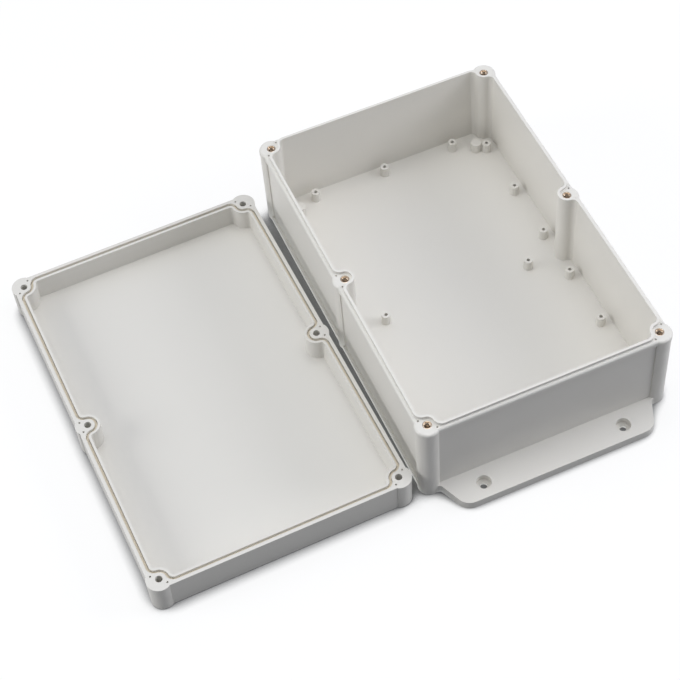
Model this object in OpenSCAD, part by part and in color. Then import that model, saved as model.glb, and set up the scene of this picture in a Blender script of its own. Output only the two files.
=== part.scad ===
// Moulded two-part housing with wall flanges: a deep base, a shallow lid that lies beside it
// with its rim up, the sealing cord in the lid's groove, and six threaded brass inserts.
// X runs across, Y along and Z up. The origin is at the middle of the base's underside,
// which is also the middle of the four wall-mounting holes.

/* [Outline] */
// Width over the corner columns
body_w = 160; // [120:1:220]
// Length over the corner columns
body_l = 240; // [180:1:320]
// Height of the base up to its sealing ledge
base_h = 62; // [40:1:120]
// Depth of the lid from its rim to its outer face
lid_h = 22; // [14:1:50]

/* [Walls] */
// Thickness of the base's floor
floor_t = 3; // [2:0.5:5]
// Depth of the recess in the base's underside
under_h = 3.5; // [1:0.5:6]
// Width of the foot that stands round the recess in the underside
foot_w = 3; // [2:0.5:6]
// Thickness of the lid's plate
lid_plate_t = 3; // [2:0.5:5]
// Depth of the recess for a label in the lid's outer face
label_h = 3.5; // [0.5:0.5:4.5]
// Wall between the label's recess and the recesses of the screw heads
label_gap = 2.3; // [1.5:0.1:10]
// Distance from the line of the screws out to the base's inner wall
wall_inset = 2.6; // [1.6:0.1:3]
// How far a wall leans inwards from its top to its foot
draft = 0.5; // [0.2:0.1:0.8]
// How far the base's side panels lie behind the outline
panel_recess = 2.6; // [2:0.1:2.9]
// How far the lid's side panels lie behind the outline
lid_recess = 1.3; // [0.7:0.1:2.2]

/* [Columns and bosses] */
// Distance of the screws from the outline
screw_inset = 7.5; // [7.2:0.1:10]
// Radius of the screw bosses inside the base
boss_r = 5.7; // [5.6:0.1:7]
// Radius of the hollow blend between a boss and the wall
blend_r = 3.5; // [3:0.1:5]
// How far the collar at the rim stands out from its column
collar_step = 0.3; // [0.2:0.1:0.6]
// Distance of a column's flanks from its screw, where it stands out from the base's panels
column_flank = 4.5; // [4.4:0.1:5]
// Distance of a column's flanks from its screw in the lid
lid_flank = 3.7; // [3:0.1:4]
// Radius of the rounded foot of the base
foot_r = 0.6; // [0.4:0.1:2]

/* [Rim] */
// Height of the lip round the rim, above the panels
lip_h = 3.5; // [3:0.5:6]
// How far the lip and the plinth stand out from the panels
lip_step = 1.2; // [0.8:0.1:1.5]
// Radius of the rounded outer edge of the rim
rim_r = 1.5; // [0.6:0.1:1.9]
// Height of the plinth along the long sides
plinth_h = 4; // [3:0.5:8]
// Radius of the rounded edge of the lid's outer face
lid_edge_r = 1.2; // [0.6:0.1:4]

/* [Sealing tongue and groove] */
// Thickness of the tongue
tongue_t = 1.5; // [1.2:0.1:1.9]
// Height of the tongue above the ledge
tongue_h = 2; // [1.5:0.1:3]
// Play between the tongue and each side of the groove
groove_play = 0.1; // [0.05:0.05:0.2]
// Thickness of the lid's wall inside the groove
lid_lip_t = 1.6; // [1.2:0.1:2]
// Height of the sealing cord
gasket_h = 1.4; // [1:0.1:2.5]
// Play between the sealing cord and each side of the groove
gasket_play = 0.1; // [0.05:0.05:0.2]

/* [Screws and inserts] */
// Outer radius of the brass inserts
insert_r = 2.75; // [2.5:0.05:3.4]
// Length of the brass inserts
insert_l = 8; // [6:0.5:14]
// Radius of the threaded hole in the inserts
thread_r = 1.65; // [1.2:0.05:2]
// Radius of the lead-in at the mouth of an insert
mouth_r = 2.1; // [2.05:0.05:2.3]
// Depth of the lead-in at the mouth of an insert
mouth_h = 0.6; // [0.3:0.1:1]
// Depth of the hole for the end of the screw, below an insert
tip_h = 12; // [4:1:20]
// Radius of the screw holes in the lid
screw_hole_r = 2.1; // [1.8:0.1:2.6]
// Radius of the recess for a screw head in the lid's outer face
head_r = 4.2; // [3.4:0.1:4.6]
// Depth of the recess for a screw head
head_h = 5; // [2:0.5:8]
// Radius of the small pin holes beside the screws
pin_r = 0.65; // [0.4:0.05:0.9]
// Depth of the pin holes
pin_h = 4; // [2:0.5:8]
// Distance of a pin hole in the base from its screw, along the wall
pin_along = 4.5; // [4.2:0.1:5]
// Distance of a pin hole in the base from its screw, towards the outside
pin_out = 3.5; // [3.1:0.1:3.9]
// Distance of a pin hole in the lid from its screw, along the wall
lid_pin_along = 3.5; // [3.2:0.1:4.4]
// Distance of a pin hole in the lid from its screw, towards the outside
lid_pin_out = 3.8; // [3.4:0.1:4.1]

/* [Standoffs on the floor] */
// Height of the standoffs above the floor
standoff_h = 7; // [4:0.5:20]
// Radius of a standoff at its top
standoff_r = 2.7; // [2.2:0.1:3.5]
// How much wider a standoff is at its foot
standoff_flare = 0.3; // [0.1:0.1:0.6]
// Radius of the pilot hole in a standoff
pilot_r = 1.1; // [0.8:0.05:1.4]
// Depth of the pilot hole
pilot_h = 6; // [3:0.5:7]
// Distance of the side standoffs from the line of the screws
side_inset = 5; // [4.5:0.5:8]
// Spacing of the side standoffs along the wall
side_pitch = 40; // [30:1:60]
// Distance of the last side standoff from the corner screw, along the wall
side_end = 15; // [14:0.5:20]
// Free length beside each middle screw, without standoffs
side_clear = 13; // [13:0.5:17]
// Distance of the inner standoffs from the line of the screws
inner_inset = 24.5; // [20:0.5:36]
// Distance of the end standoffs from the line of the end screws
end_inset = 4.5; // [4:0.5:8]
// Radius of the solid stub beside each corner boss
stub_r = 3.4; // [2.5:0.1:3.6]
// Distance of the stub from the corner screw, across the base
stub_x = 11; // [10.5:0.5:14]
// Distance of the stub from the corner screw, along the base
stub_y = 11.5; // [10.5:0.5:14]

/* [Wall flanges] */
// Thickness of the flanges
flange_t = 6; // [5:0.5:10]
// How far the flanges reach beyond the outline
flange_reach = 17.5; // [16:0.5:30]
// Slant of a flange's side edges, in degrees
flange_slant = 23; // [15:1:30]
// Distance of a side edge from the line of the screws, where it crosses the outline
flange_inset = 4.7; // [3:0.1:8]
// Radius of the flange's outer corners
flange_r = 9; // [3:0.5:12]
// Radius of the hollow blend between a flange and the column beside it
flare_r = 2.5; // [1:0.5:5]
// Distance of the mounting holes from the flange's outer edge
mount_end = 10; // [8:0.5:11]
// Distance of the mounting holes from the line of the screws
mount_inset = 27.5; // [18:0.5:50]
// Radius of the mounting holes
mount_r = 2.1; // [1.8:0.1:3]
// Radius of the recess round a mounting hole
mount_head_r = 4.5; // [3.6:0.1:5.5]
// Depth of the recess round a mounting hole
mount_head_h = 4; // [1:0.5:4]

/* [Lid beside the base] */
// Gap between the outlines of the lid and the base
lid_gap = 3.6; // [1:0.1:40]
// Turn of the lid where it lies
lid_turn = 1.1; // [0:0.1:5]
// How far the lid lies towards the front
lid_forward = 1.8; // [0:0.1:20]

/* [Hidden] */
$fn = 64;
// Overshoot of a cutting body past the face that it opens
cut = 1;
// How far a blend's curve crosses the faces that it runs into, so that they meet in an edge
bite = 0.02;

base_colour = [0.80, 0.80, 0.78];
lid_colour = [0.82, 0.82, 0.80];
gasket_colour = [0.74, 0.70, 0.62];
brass_colour = [0.80, 0.62, 0.36];

// The screws stand in two rows of three
SIDES = [-1, 1];
SCREWS = [for (i = SIDES, j = [-1, 0, 1]) [i, j]];
screw_x = body_w / 2 - screw_inset;
screw_y = body_l / 2 - screw_inset;
column_r = screw_inset - collar_step;

room_x = screw_x + wall_inset;
room_y = screw_y + wall_inset;
room_floor = under_h + floor_t;
lid_floor = label_h + lid_plate_t;
groove_d = tongue_h + gasket_h;

side_x = screw_x - side_inset;
inner_x = screw_x - inner_inset;
end_y = screw_y - end_inset;
SIDE_ROWS = [for (y = [screw_y - side_end : -side_pitch : side_clear]) y];

flange_x = screw_x - flange_inset;
flange_y = body_l / 2 + flange_reach;
mount_x = screw_x - mount_inset;
mount_y = flange_y - mount_end;

// Half of the lid's width where it lies turned, over its round corners
lid_half = screw_x * cos(lid_turn) + screw_y * sin(lid_turn) + screw_inset;
lid_x = -(body_w / 2 + lid_gap + lid_half);

// Copies of a shape at the six screws, which is told its place as $screw
module at_screws() {
    for ($screw = SCREWS) translate([$screw.x * screw_x, $screw.y * screw_y]) children();
}

// Turns a shape drawn for the back right corner to the corner or side of $screw
module facing_out() {
    mirror([$screw.x < 0 ? 1 : 0, 0]) mirror([0, $screw.y < 0 ? 1 : 0]) children();
}

// Plan of the room inside the rim, grown outwards by grow: a rectangle
// that passes round the inner side of each screw boss
module room_plan(grow = 0) {
    difference() {
        square(2 * [room_x + grow, room_y + grow], center = true);
        at_screws() boss_plan(grow);
    }
}

// Plan of a screw boss, with its blends into the walls
module boss_plan(grow) {
    circle(boss_r - grow);
    facing_out() {
        blend_plan(grow);
        if ($screw.y == 0) mirror([0, 1]) blend_plan(grow);
        else {
            mirror([1, -1]) blend_plan(grow);
            square(wall_inset + grow + cut);
        }
    }
}

// The hollow blend that runs from a boss down to the wall on its right
module blend_plan(grow) {
    hollow = blend_r + grow;
    wall = wall_inset + grow;
    x = wall - hollow + bite;
    y = -sqrt(pow(boss_r + blend_r - bite, 2) - x * x);
    difference() {
        polygon([[0, 0], [x, y], [wall + cut, y], [wall + cut, 0]]);
        translate([x, y]) circle(hollow);
    }
}

module room_ring(outer, inner) {
    difference() {
        room_plan(outer);
        room_plan(inner);
    }
}

// A straight-sided body: the first child is its section across, the second its section
// along, each drawn on one side of the middle as distance and height
module crossed() {
    intersection() {
        rotate([90, 0, 0]) linear_extrude(2 * body_l, center = true) both_sides() children(0);
        rotate([90, 0, 90]) linear_extrude(2 * body_w, center = true) both_sides() children(1);
    }
}

module both_sides() {
    children();
    mirror([1, 0]) children();
}

// Half section of the base's outside: rounded foot, plinth if it has a height,
// leaning panel, lip and rounded rim
module base_section(panel, step, plinth = 0) {
    lip = panel + step;
    foot = plinth > 0 ? lip : panel - draft;
    foot_c = [foot - foot_r, foot_r];
    rim_c = [lip - rim_r, base_h - rim_r];
    polygon(concat(
        [[0, 0], [foot_c.x, 0], [foot, foot_c.y]],
        plinth > 0 ? [[lip, plinth], [panel - draft, plinth]] : [],
        [[panel, base_h - lip_h], [lip, base_h - lip_h], [lip, rim_c.y], [rim_c.x, base_h],
         [0, base_h]]));
    translate(foot_c) circle(foot_r);
    translate(rim_c) circle(rim_r);
}

// Half section of the lid's outside, from its rounded outer face up to its rim
module lid_section(rim) {
    edge_c = [rim - draft - lid_edge_r, lid_edge_r];
    polygon([[0, 0], [edge_c.x, 0], [rim - draft, edge_c.y], [rim, lid_h], [0, lid_h]]);
    translate(edge_c) circle(lid_edge_r);
}

// Half section of a room with leaning walls, open past its top
module room_section(wall, low, top) {
    polygon([[0, low], [wall - draft, low], [wall, top], [wall, top + cut], [0, top + cut]]);
}

// Cuts off the corners beyond the screws, where round columns take the place of the walls
module open_corners(top) {
    intersection() {
        children();
        translate([0, 0, -cut]) linear_extrude(top + 2 * cut) {
            square(2 * [screw_x, body_l], center = true);
            square(2 * [body_w, screw_y], center = true);
        }
    }
}

// Cuts a round column off at its flanks, on the sides where it meets the panels
module between_flanks(flank, top) {
    far = screw_inset + cut;
    intersection() {
        children();
        facing_out() translate([-flank, -flank, -cut])
            cube([flank + far, flank + ($screw.y == 0 ? flank : far), top + 2 * cut]);
    }
}

module base_outside() {
    open_corners(base_h) crossed() {
        base_section(body_w / 2 - panel_recess, lip_step, plinth_h);
        base_section(body_l / 2 - panel_recess, lip_step);
    }
    at_screws() between_flanks(column_flank, base_h)
        rotate_extrude() base_section(column_r, collar_step);
}

module lid_outside() {
    open_corners(lid_h) crossed() {
        lid_section(body_w / 2 - lid_recess);
        lid_section(body_l / 2 - lid_recess);
    }
    at_screws() between_flanks(lid_flank, lid_h) rotate_extrude() lid_section(screw_inset);
}

// The room between a plate and a rim, with walls that lean in towards the plate
module room(low, top, grow = 0) {
    intersection() {
        translate([0, 0, low]) linear_extrude(top + cut - low) room_plan(grow);
        crossed() {
            room_section(room_x + grow, low, top);
            room_section(room_y + grow, low, top);
        }
    }
}

// The two pin holes beside a screw, in the rim at the height top
module pin_holes(top, out, along) {
    translate([0, 0, top - pin_h]) facing_out() {
        translate([out, -along]) cylinder(h = pin_h + cut, r = pin_r);
        translate($screw.y == 0 ? [out, along] : [-along, out])
            cylinder(h = pin_h + cut, r = pin_r);
    }
}

module standoff() {
    difference() {
        cylinder(h = standoff_h, r1 = standoff_r + standoff_flare, r2 = standoff_r);
        translate([0, 0, standoff_h - pilot_h]) cylinder(h = pilot_h + cut, r = pilot_r);
    }
}

module standoffs() {
    for (i = SIDES, j = SIDES) {
        for (y = SIDE_ROWS) translate([i * side_x, j * y]) standoff();
        translate([i * inner_x, j * end_y]) standoff();
        translate([i * (screw_x - stub_x), j * (screw_y - stub_y)])
            cylinder(h = standoff_h, r = stub_r);
    }
    for (i = SIDES) {
        translate([i * inner_x, 0]) standoff();
        translate([0, i * end_y]) standoff();
    }
}

// Plan of the back flange: a rectangle inside the wall, then slanted side edges that run
// into rounded corners
module flange_plan() {
    side = [cos(flange_slant), sin(flange_slant)];
    corner_y = flange_y - flange_r;
    slid = flange_r + (corner_y - body_l / 2) * side.y;
    corner = [flange_x - slid / side.x, corner_y];
    root = [flange_x + screw_inset * tan(flange_slant), screw_y];
    both_sides() {
        polygon([[0, screw_y], root, corner + (flange_r - bite) * side, corner,
                 [corner.x, flange_y], [0, flange_y]]);
        translate(corner) circle(flange_r);
        flare_plan();
    }
}

// The hollow blend between the flange's side edge and the foot of the column on its right,
// drawn about the column's middle with the side edge upright
module flare_plan() {
    edge = screw_inset * sin(flange_slant) - flange_inset * cos(flange_slant);
    x = flare_r + edge - bite;
    y = sqrt(pow(column_r - draft + flare_r - bite, 2) - x * x);
    translate([screw_x, screw_y]) rotate(flange_slant) difference() {
        polygon([[0, 0], [x, y], [edge - cut, y], [edge - cut, 0]]);
        translate([x, y]) circle(flare_r);
    }
}

module flange() {
    difference() {
        linear_extrude(flange_t) flange_plan();
        for (i = SIDES) translate([i * mount_x, mount_y]) {
            translate([0, 0, -cut]) cylinder(h = flange_t + 2 * cut, r = mount_r);
            translate([0, 0, flange_t - mount_head_h])
                cylinder(h = mount_head_h + cut, r = mount_head_r);
        }
    }
}

// Plan of the recess in the base's underside
module under_plan() {
    foot = panel_recess + draft + foot_w;
    square([body_w - 2 * foot, body_l - 2 * foot], center = true);
}

module base_shell() {
    color(base_colour) {
        difference() {
            union() {
                base_outside();
                flange();
                mirror([0, 1]) flange();
            }
            room(room_floor, base_h);
            translate([0, 0, -cut]) linear_extrude(under_h + cut) under_plan();
            at_screws() {
                translate([0, 0, base_h - insert_l]) cylinder(h = insert_l + cut, r = insert_r);
                translate([0, 0, base_h - insert_l - tip_h])
                    cylinder(h = tip_h + cut, r = screw_hole_r);
                pin_holes(base_h, pin_out, pin_along);
            }
        }
        translate([0, 0, base_h]) linear_extrude(tongue_h) room_ring(tongue_t, 0);
        translate([0, 0, room_floor]) standoffs();
    }
}

// Plan of the recess for a label, between the screw heads
module label_plan() {
    gap = head_r + label_gap;
    square(2 * [screw_x - gap, screw_y - gap], center = true);
}

// Lays a shape drawn about the lid's middle where the lid lies, outer face down
module on_lid() {
    translate([lid_x, -lid_forward]) rotate(lid_turn) children();
}

module lid_shell() {
    color(lid_colour) on_lid() difference() {
        lid_outside();
        room(lid_floor, lid_h, -lid_lip_t);
        translate([0, 0, -cut]) linear_extrude(label_h + cut) label_plan();
        translate([0, 0, lid_h - groove_d]) linear_extrude(groove_d + cut)
            room_ring(tongue_t + groove_play, -groove_play);
        at_screws() {
            translate([0, 0, -cut]) cylinder(h = lid_h + 2 * cut, r = screw_hole_r);
            translate([0, 0, -cut]) cylinder(h = head_h + cut, r = head_r);
            pin_holes(lid_h, lid_pin_out, lid_pin_along);
        }
    }
}

module lid_gasket() {
    play = groove_play - gasket_play;
    color(gasket_colour) on_lid() translate([0, 0, lid_h - groove_d])
        linear_extrude(gasket_h) room_ring(tongue_t + play, -play);
}

// A brass insert at the screw place that is i across and j along
module insert(i, j) {
    color(brass_colour) translate([i * screw_x, j * screw_y, base_h - insert_l]) difference() {
        cylinder(h = insert_l, r = insert_r);
        translate([0, 0, -cut]) cylinder(h = insert_l + 2 * cut, r = thread_r);
        translate([0, 0, insert_l - mouth_h]) cylinder(h = mouth_h + cut, r = mouth_r);
    }
}

base_shell();
lid_shell();
lid_gasket();
insert(-1, -1);  // insert_front_left
insert(1, -1);  // insert_front_right
insert(-1, 0);  // insert_middle_left
insert(1, 0);  // insert_middle_right
insert(-1, 1);  // insert_back_left
insert(1, 1);  // insert_back_right
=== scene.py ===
"""Looks of the moulded housing: satin plastic with a fine moulded grain, the sealing cord in
the lid's groove, and brass inserts with real threads, on a white table in soft studio light.
"""

import math

import bmesh
import bpy
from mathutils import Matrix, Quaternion, Vector


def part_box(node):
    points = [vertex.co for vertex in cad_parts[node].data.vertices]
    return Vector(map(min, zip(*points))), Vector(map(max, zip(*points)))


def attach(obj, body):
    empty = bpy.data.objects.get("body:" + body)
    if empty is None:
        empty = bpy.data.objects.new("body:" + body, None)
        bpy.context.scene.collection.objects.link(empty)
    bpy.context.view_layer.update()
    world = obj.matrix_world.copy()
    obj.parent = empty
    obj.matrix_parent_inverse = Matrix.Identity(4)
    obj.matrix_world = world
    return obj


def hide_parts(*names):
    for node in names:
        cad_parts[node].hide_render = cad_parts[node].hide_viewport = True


# One millimetre, in the metres of the scene
MM = 0.001

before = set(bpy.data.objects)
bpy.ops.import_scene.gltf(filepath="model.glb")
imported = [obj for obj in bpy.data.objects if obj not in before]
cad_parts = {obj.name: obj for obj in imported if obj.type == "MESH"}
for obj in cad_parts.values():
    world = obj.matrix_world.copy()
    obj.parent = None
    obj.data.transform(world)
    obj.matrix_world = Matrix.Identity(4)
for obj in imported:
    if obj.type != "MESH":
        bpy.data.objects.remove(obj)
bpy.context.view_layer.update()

# The picture is a square of this many pixels
PICTURE_PX = 680
# The camera: the point that it looks at, its distance, and its direction and roll in degrees
CAMERA_TARGET = Vector((-37.16, 33.87, 2)) * MM
CAMERA_DISTANCE = 1214.9 * MM
CAMERA_AZIMUTH = -21.61
CAMERA_ELEVATION = 52.11
CAMERA_ROLL = -3.42
# Focal length, and the pixel that the lens looks straight at
FOCAL_PX = 1963.8
AXIS_PX = (380, 280)
# Width of the sensor in millimetres; it only scales the focal length
SENSOR_WIDTH = 36

# Colours: the two mouldings, the sealing cord, and the brass where it is dull and bright. The
# base's tint is its own colour, raised a little as painted light that brightens the shade inside
# the deep base
BASE_TINT = (0.748, 0.726, 0.676)
LID_TINT = (0.705, 0.685, 0.638)
CORD_TINT = (0.80, 0.72, 0.58)
BRASS_DULL = (0.60, 0.47, 0.36)
BRASS_BRIGHT = (0.80, 0.67, 0.52)
# Width of the rounding that the mould gives an edge
EDGE_WIDTH = 0.26 * MM

# The brass inserts, in millimetres: their outside, lead-in and M4 thread
INSERT_R = 2.75
INSERT_FOOT_CHAMFER = 0.15
INSERT_TOP_CHAMFER = 0.08
INSERT_MOUTH_R = 2.1
INSERT_MOUTH_DEPTH = 0.6
INSERT_MOUTH_CHAMFER = 0.1
THREAD_CORE_R = 1.65
THREAD_ROOT_R = 2.0
THREAD_PITCH = 0.7
# Profile of the thread: the slope of its flanks, and how much of them the flat core cuts off
THREAD_SLOPE = 2.6
THREAD_FLAT = 0.35
# A ring this far below the top keeps the shading of its edge off the rest of the side
SIDE_RING_DEPTH = 1.2
# Steps round an insert, and rows of the mesh to one turn of its thread
INSERT_STEPS = 40
ROWS_PER_TURN = 8

# How far the table's painted shadow reaches from walls: a single one round its foot, and two in
# the gap between
FOOT_REACH = 14 * MM
GAP_REACH = 50 * MM
# How open the table is where this painted shadow is full, and where it ends
FOOT_OPENNESS = (0.42, 0.74)
GAP_OPENNESS = (0.25, 0.5)
# How white the table's painted shadow leaves it right at a foot, where 1 is all its white
FOOT_LEVEL = 0.06
# The share of its white that the lamps light, while the rest glows by itself
TABLE_LIT_SHARE = 0.2
# What the object gets from the table: a grey, and some light thrown back in a gap
TABLE_GREY = (0.16, 0.16, 0.16)
GAP_LIGHT_TINT = (0.9, 0.95, 1)
GAP_LIGHT_LEVEL = 1.3

# The light of the room, which is weaker from the side that the photographer stands on
ROOM_TINT = (0.935, 0.985, 1.1)
ROOM_LEVEL = 0.57
DARK_SIDE = Vector((-0.3, -0.9, 0.3)).normalized()
DARK_SIDE_LEVEL = 0.2
# Cosines of the angles from the middle of the dark side at which the dark starts and is full
DARK_SIDE_COSINES = (0.15, 0.85)
# The point that the soft boxes are turned to
LIT_POINT = Vector((-0.08, 0, 0.02))


def back_vector(azimuth, elevation):
    """Unit vector from the object towards a camera; azimuth 0 looks along +Y."""
    a, e = math.radians(azimuth), math.radians(elevation)
    return Vector((math.sin(a) * math.cos(e), -math.cos(a) * math.cos(e), math.sin(e)))


def make_camera():
    """The camera that took the photo, as it was fitted to the screws of the base and lid."""
    data = bpy.data.cameras.new("camera")
    data.sensor_width = SENSOR_WIDTH
    data.lens = FOCAL_PX / PICTURE_PX * SENSOR_WIDTH
    data.shift_x = (PICTURE_PX / 2 - AXIS_PX[0]) / PICTURE_PX
    data.shift_y = (AXIS_PX[1] - PICTURE_PX / 2) / PICTURE_PX
    data.clip_start = 0.05
    data.clip_end = 20
    camera = bpy.data.objects.new("camera", data)
    back = back_vector(CAMERA_AZIMUTH, CAMERA_ELEVATION)
    camera.location = CAMERA_TARGET + back * CAMERA_DISTANCE
    camera.rotation_mode = "QUATERNION"
    level = (-back).to_track_quat("-Z", "Y")
    camera.rotation_quaternion = level @ Quaternion((0, 0, 1), math.radians(CAMERA_ROLL))
    bpy.context.scene.collection.objects.link(camera)
    bpy.context.scene.camera = camera


class Nodes:
    """A short way to write the nodes of a material or of the world."""

    def __init__(self, owner, kind):
        owner.use_nodes = True
        self.owner = owner
        self.tree = owner.node_tree
        self.tree.nodes.clear()
        self.output = self.tree.nodes.new("ShaderNodeOutput" + kind)

    def add(self, kind, inputs=None, **settings):
        """Adds a node. Each input is a constant, or the socket that feeds it."""
        node = self.tree.nodes.new("ShaderNode" + kind)
        for name, value in settings.items():
            setattr(node, name, value)
        for name, value in (inputs or {}).items():
            if isinstance(value, bpy.types.NodeSocket):
                self.tree.links.new(value, node.inputs[name])
            else:
                node.inputs[name].default_value = value
        return node

    def surface(self, shader):
        """Ends the tree with this shader and returns the material or world it belongs to."""
        self.tree.links.new(shader.outputs[0], self.output.inputs["Surface"])
        return self.owner

    def combine(self, operation, first, second):
        """Two numbers made into one, such as by MULTIPLY or MAXIMUM."""
        return self.add("Math", {0: first, 1: second}, operation=operation).outputs[0]

    def noise(self, per_mm, detail=2, stretch=(1, 1, 1)):
        """Noise in the object's own space, with a feature about every 1 / per_mm millimetres."""
        place = self.add("TexCoord").outputs["Object"]
        scaled = self.add("Mapping", {"Vector": place, "Scale": stretch}).outputs["Vector"]
        noise = self.add("TexNoise", {"Vector": scaled, "Scale": per_mm / MM, "Detail": detail})
        return noise.outputs["Fac"]

    def between(self, factor, low, high, start=0, end=1):
        """Maps a factor from the range start to end onto the range low to high."""
        span = self.add("MapRange", {
            "Value": factor, "From Min": start, "From Max": end, "To Min": low, "To Max": high,
        })
        return span.outputs["Result"]

    def mix_colours(self, factor, low, high):
        """A colour between two: a Mix node has its colours at inputs 6, 7 and at output 2."""
        mix = self.add("Mix", {"Factor": factor, 6: (*low, 1), 7: (*high, 1)}, data_type="RGBA")
        return mix.outputs[2]

    def mix_shaders(self, factor, low, high):
        """A shader between two."""
        return self.add("MixShader", {"Fac": factor, 1: low.outputs[0], 2: high.outputs[0]})

    def openness(self, reach):
        """How open the surface lies at each point: 1 where nothing is nearer than the reach."""
        return self.add("AmbientOcclusion", {"Distance": reach}, samples=16).outputs["AO"]

    def bump(self, height, depth, normal=None):
        """A normal with a relief of this depth, laid over another normal if one is given."""
        inputs = {"Height": height, "Strength": 1.0, "Distance": depth}
        if normal:
            inputs["Normal"] = normal
        return self.add("Bump", inputs).outputs["Normal"]


def material_nodes(name):
    """The nodes of a new material, which their surface call returns."""
    return Nodes(bpy.data.materials.new(name), "Material")


def shade(tint, share):
    """The tint made lighter by a share of it, or darker where the share is negative."""
    return [min(c * (1 + share), 1) for c in tint]


def plastic(name, tint):
    """Satin moulded plastic: a faint flow in its colour, a fine spark-eroded grain, and a
    gloss that varies a little from place to place."""
    n = material_nodes(name)
    flow = n.noise(per_mm=0.02, detail=3, stretch=(1, 0.4, 1))
    grain = n.bump(n.noise(per_mm=3, detail=3), depth=0.012 * MM)
    waves = n.bump(n.noise(per_mm=0.05, detail=1), depth=0.06 * MM, normal=grain)
    return n.surface(n.add("BsdfPrincipled", {
        "Base Color": n.mix_colours(flow, shade(tint, -0.015), shade(tint, 0.015)),
        "Roughness": n.between(n.noise(per_mm=0.08, detail=4), 0.36, 0.46),
        "IOR": 1.5,
        "Normal": waves,
    }))


def cord_rubber(name, tint):
    """Matte sealing cord with a dusting of talc."""
    n = material_nodes(name)
    talc = n.noise(per_mm=1.2, detail=5)
    return n.surface(n.add("BsdfPrincipled", {
        "Base Color": n.mix_colours(talc, shade(tint, -0.1), shade(tint, 0.1)),
        "Roughness": 0.8,
        "Normal": n.bump(n.noise(per_mm=2.5, detail=3), depth=0.03 * MM),
    }))


def brass(name):
    """Turned brass: fine marks from the lathe and a slightly uneven polish."""
    n = material_nodes(name)
    polish = n.noise(per_mm=0.8, detail=4)
    return n.surface(n.add("BsdfPrincipled", {
        "Base Color": n.mix_colours(polish, BRASS_DULL, BRASS_BRIGHT),
        "Metallic": 1.0,
        "Roughness": n.between(polish, 0.12, 0.22),
        "Normal": n.bump(n.noise(per_mm=6, stretch=(1, 1, 3)), depth=0.01 * MM),
    }))


def round_edges(node, width):
    """Softens the sharp edges of a CAD node as the mould leaves them."""
    weld = node.modifiers.new("weld", "WELD")
    weld.merge_threshold = 0.001 * MM
    bevel = node.modifiers.new("soft_edges", "BEVEL")
    bevel.width = width
    bevel.segments = 2
    bevel.limit_method = "ANGLE"
    bevel.angle_limit = math.radians(35)
    bevel.harden_normals = True
    bevel.use_clamp_overlap = True
    normals = node.modifiers.new("normals", "WEIGHTED_NORMAL")
    normals.keep_sharp = True


def dress(node_name, material, edge=None):
    """Gives a CAD node its material and, where a width is given, soft edges."""
    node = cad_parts[node_name]
    node.data.materials.clear()
    node.data.materials.append(material)
    if edge:
        round_edges(node, edge)


def thread_radius(height, turn):
    """Radius of the thread at a height and a share of a turn: flat along its core, with two
    flanks that slope to a sharp root."""
    along = (height / THREAD_PITCH - turn) % 1
    rise = max(abs(along - 0.5) * THREAD_SLOPE - THREAD_FLAT, 0)
    return THREAD_CORE_R + (THREAD_ROOT_R - THREAD_CORE_R) * rise


def insert_outline(low, high):
    """Height and radius of each ring of an insert in millimetres: up its outside, over its
    top, and down the thread, which runs from the lead-in to the foot."""
    mouth = high - INSERT_MOUTH_DEPTH
    rows = math.ceil((mouth - low) / THREAD_PITCH * ROWS_PER_TURN)
    outside_and_mouth = [
        (low, INSERT_R - INSERT_FOOT_CHAMFER),
        (low + INSERT_FOOT_CHAMFER, INSERT_R),
        (high - SIDE_RING_DEPTH, INSERT_R),
        (high - INSERT_TOP_CHAMFER, INSERT_R),
        (high, INSERT_R - INSERT_TOP_CHAMFER),
        (high, INSERT_MOUTH_R + INSERT_MOUTH_CHAMFER),
        (high - INSERT_MOUTH_CHAMFER, INSERT_MOUTH_R),
        (mouth, INSERT_MOUTH_R),
    ]
    thread = [(low + (mouth - low) * k / rows, thread_radius) for k in range(rows, -1, -1)]
    return outside_and_mouth + thread


def turned_mesh(name, outline, axis):
    """A ring-shaped mesh with this outline, in millimetres, round an upright axis. A radius
    is a number, or a function of the height and the share of a turn."""
    mesh = bmesh.new()

    def ring(height, radius):
        made = []
        for i in range(INSERT_STEPS):
            turn = i / INSERT_STEPS
            r = radius(height, turn) if callable(radius) else radius
            a = turn * math.tau
            place = Vector((r * math.cos(a), r * math.sin(a), height)) * MM
            made.append(mesh.verts.new(place + axis))
        return made

    rings = [ring(height, radius) for height, radius in outline]
    rings.append(rings[0])
    for lower, upper in zip(rings, rings[1:]):
        for i in range(INSERT_STEPS):
            j = (i + 1) % INSERT_STEPS
            mesh.faces.new((lower[i], lower[j], upper[j], upper[i]))
    bmesh.ops.recalc_face_normals(mesh, faces=mesh.faces)
    data = bpy.data.meshes.new(name)
    mesh.to_mesh(data)
    mesh.free()
    for face in data.polygons:
        face.use_smooth = True
    return data


def turned_insert(node_name, material):
    """A brass insert with its real M4 thread, in place of the CAD node's plain one."""
    lowest, highest = (Vector(c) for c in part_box(node_name))
    middle = (lowest + highest) / 2
    name = node_name + "_turned"
    outline = insert_outline(lowest.z / MM, highest.z / MM)
    data = turned_mesh(name, outline, axis=Vector((middle.x, middle.y, 0)))
    data.materials.append(material)
    piece = bpy.data.objects.new(name, data)
    bpy.context.scene.collection.objects.link(piece)
    sharp = piece.modifiers.new("sharp_edges", "EDGE_SPLIT")
    sharp.split_angle = math.radians(50)
    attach(piece, "root")
    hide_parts(node_name)


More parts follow.
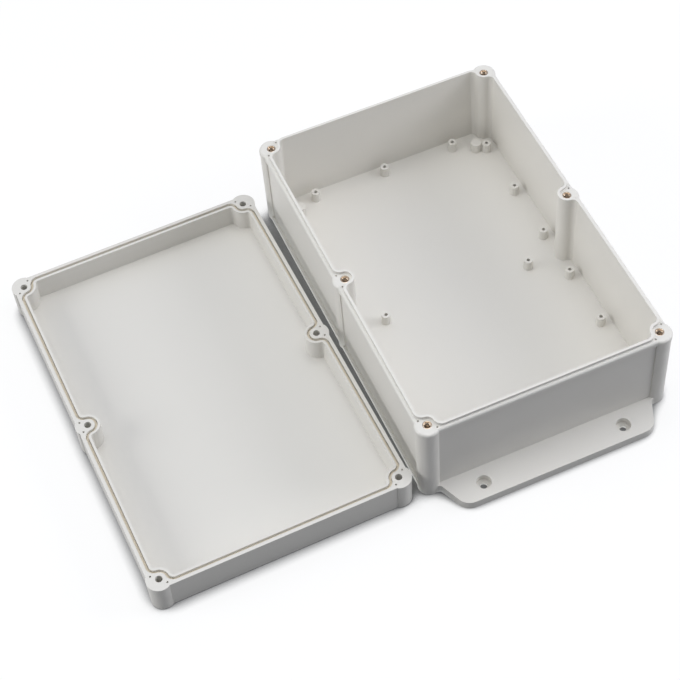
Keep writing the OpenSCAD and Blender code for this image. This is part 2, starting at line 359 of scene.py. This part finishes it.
def white_table():
    """A plain white table. The camera and every reflection see it near white, with a painted
    shadow only at the foot of the object and in the gap between two walls. To all other light it
    is a grey, which lights the object's sides softly, and it throws some light back in such a
    gap."""
    bpy.ops.mesh.primitive_plane_add(size=8)
    table = bpy.context.object
    table.name = "table"
    n = material_nodes("table_white")
    # Painted shadow: the table's glow dims with its openness at the foot of a wall and in a gap
    off_foot = n.between(n.openness(FOOT_REACH), FOOT_LEVEL, 1, *FOOT_OPENNESS)
    off_gap = n.between(n.openness(GAP_REACH), 0, 1, *GAP_OPENNESS)
    glow = n.add("Emission", {
        "Color": (1, 1, 1, 1), "Strength": n.combine("MULTIPLY", off_foot, off_gap),
    })
    matt_white = n.add("BsdfDiffuse", {"Color": (1, 1, 1, 1)})
    seen = n.mix_shaders(TABLE_LIT_SHARE, glow, matt_white)
    matt_grey = n.add("BsdfDiffuse", {"Color": (*TABLE_GREY, 1)})
    gap_light = n.add("Emission", {
        "Color": (*GAP_LIGHT_TINT, 1), "Strength": n.between(off_gap, GAP_LIGHT_LEVEL, 0),
    })
    given = n.add("AddShader", {0: matt_grey.outputs[0], 1: gap_light.outputs[0]})
    path = n.add("LightPath").outputs
    sight = n.combine("MAXIMUM", path["Is Camera Ray"], path["Is Glossy Ray"])
    sight = n.combine("MAXIMUM", sight, path["Is Transmission Ray"])
    table.data.materials.append(n.surface(n.mix_shaders(sight, given, seen)))


def room():
    """The light of the room itself, from all round the object."""
    n = Nodes(bpy.data.worlds.new("studio"), "World")
    direction = n.add("TexCoord").outputs["Generated"]
    facing = n.add("VectorMath", {0: direction, 1: DARK_SIDE}, operation="DOT_PRODUCT")
    cosine = facing.outputs["Value"]
    level = n.between(cosine, ROOM_LEVEL, DARK_SIDE_LEVEL, *DARK_SIDE_COSINES)
    light = n.add("Background", {"Color": (*ROOM_TINT, 1), "Strength": level})
    bpy.context.scene.world = n.surface(light)


def soft_box(name, place, size, level, colour):
    """A soft box that lights a face turned to it at the lit point up to this level, where 1
    shows a colour as it is written."""
    towards = LIT_POINT - Vector(place)
    data = bpy.data.lights.new(name, "AREA")
    data.shape = "RECTANGLE"
    data.size, data.size_y = size
    data.energy = level * math.pi ** 2 * towards.length ** 2
    data.color = colour
    lamp = bpy.data.objects.new(name, data)
    lamp.location = place
    lamp.rotation_mode = "QUATERNION"
    lamp.rotation_quaternion = towards.to_track_quat("-Z", "Y")
    bpy.context.scene.collection.objects.link(lamp)


def studio():
    """The table, the light of the room and three soft boxes: one above, one at each side."""
    white_table()
    room()
    soft_box("overhead", (0, 0.04, 1.55), size=(1.1, 1.1), level=0.36, colour=(1, 1, 0.99))
    soft_box("left_side", (-1.4, 0.2, 0.66), size=(0.8, 0.6), level=0.385, colour=(1, 1, 0.99))
    soft_box("right_side", (1.05, -0.4, 0.7), size=(0.7, 0.6), level=0.35,
             colour=(0.98, 0.99, 1.05))
    bpy.context.scene.view_settings.view_transform = "Standard"


make_camera()
studio()
dress("base_shell", plastic("base_plastic", BASE_TINT), edge=EDGE_WIDTH)
dress("lid_shell", plastic("lid_plastic", LID_TINT), edge=EDGE_WIDTH)
dress("lid_gasket", cord_rubber("sealing_cord", CORD_TINT))
turned_brass = brass("turned_brass")
for name in list(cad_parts):
    if name.startswith("insert_"):
        turned_insert(name, turned_brass)
